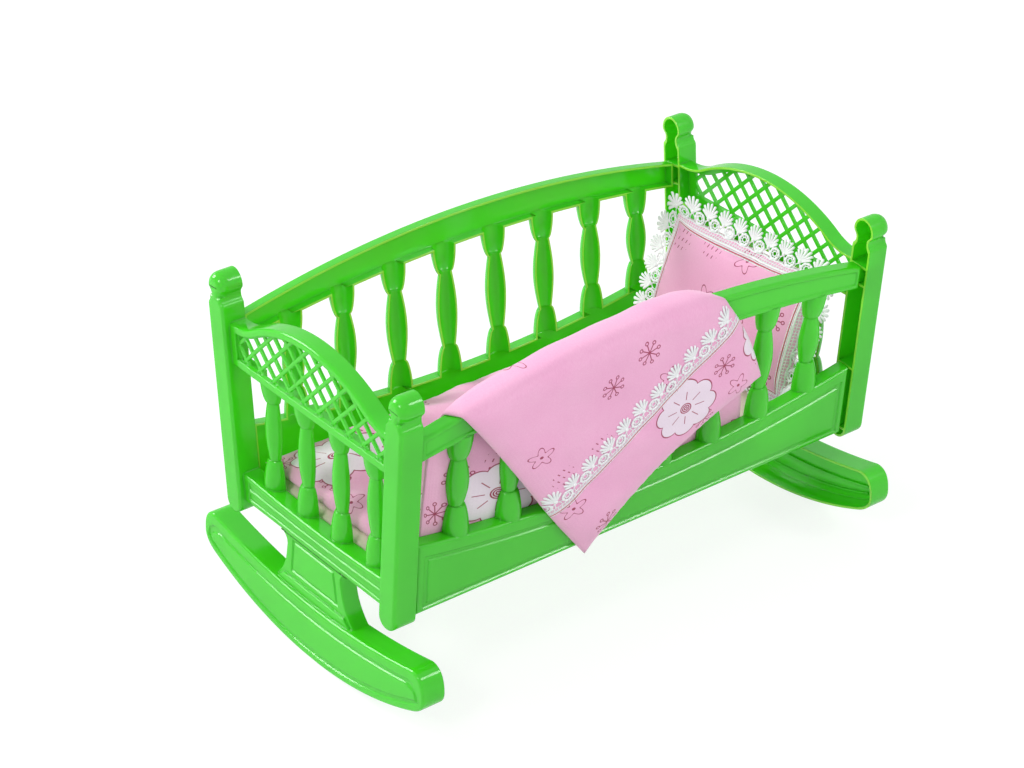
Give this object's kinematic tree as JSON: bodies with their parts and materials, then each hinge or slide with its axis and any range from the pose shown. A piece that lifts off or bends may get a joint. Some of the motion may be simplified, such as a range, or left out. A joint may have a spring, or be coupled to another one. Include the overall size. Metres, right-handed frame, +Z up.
{
  "type": "doll cradle",
  "caption": "Rocking doll cradle in moulded plastic with arched lattice ends, turned-spindle sides, curved rockers, a mattress, a lace-edged pillow and a blanket over the near rail.",
  "frame": {"origin": "ground under the middle of the cradle, level with the lowest flat of both rockers", "axes": "+X from the foot end to the head end with the pillow, +Y from the near side, which carries the blanket, to the far side, +Z up"},
  "size_m": [0.43, 0.2664, 0.2616],
  "materials": {
    "green_plastic": "glossy moulded plastic, slightly translucent at its edges",
    "mattress_cloth": "plain cream cotton",
    "pink_cotton": "printed pink cotton, softly filled",
    "white_lace": "white scalloped cotton lace"
  },
  "bodies": {
    "cradle": {"headboard": "green_plastic", "footboard": "green_plastic", "side_panel_near": "green_plastic", "side_panel_far": "green_plastic", "floor_panel": "green_plastic"},
    "mattress": {"mattress": "mattress_cloth"},
    "pillow": {"pillow": "pink_cotton", "pillow_lace": "white_lace"},
    "blanket": {"blanket": "pink_cotton", "blanket_lace": "white_lace"}
  },
  "joints": [
    {"name": "mattress_lift", "type": "slide", "parent": "cradle", "child": "mattress", "axis": [0, -0.0767, 0.9971], "range_m": [0, 0.18]},
    {"name": "pillow_lift", "type": "slide", "parent": "mattress", "child": "pillow", "axis": [0, 0, 1], "range_m": [0, 0.165]},
    {"name": "blanket_lift", "type": "slide", "parent": "mattress", "child": "blanket", "axis": [0, -0.0767, 0.9971], "range_m": [0, 0.195]}
  ]
}
